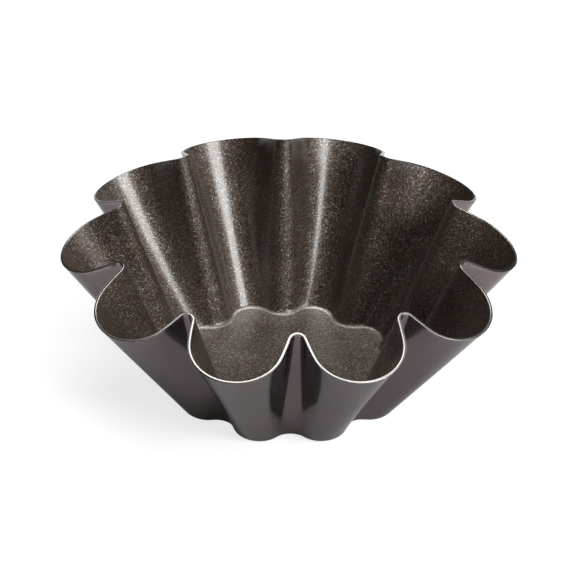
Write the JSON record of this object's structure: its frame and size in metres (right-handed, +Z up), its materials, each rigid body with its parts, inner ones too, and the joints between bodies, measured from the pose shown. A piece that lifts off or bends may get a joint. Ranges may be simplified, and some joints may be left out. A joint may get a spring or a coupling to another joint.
{
  "type": "brioche mould",
  "caption": "Fluted baking mould for small brioches, pressed from coated sheet steel, with a flared wavy rim, a dark speckled non-stick inside and a flat base.",
  "frame": {"origin": "middle of the flat base, on the surface that the mould stands on", "axes": "+Z up through the open mouth; +X through the tip of one flute; +Y through the crease between two flutes"},
  "size_m": [0.08, 0.077, 0.0303],
  "materials": {
    "outside_coat": "smooth satin heat-resistant coat, dark mauve-grey",
    "steel_core": "bare cold-rolled sheet steel where the rim is trimmed",
    "inside_coat": "baked non-stick coat, dark bronze-brown with fine metallic speckle"
  },
  "bodies": {
    "root": {"outside_coat": "outside_coat", "steel_core": "steel_core", "inside_coat": "inside_coat"}
  },
  "joints": []
}
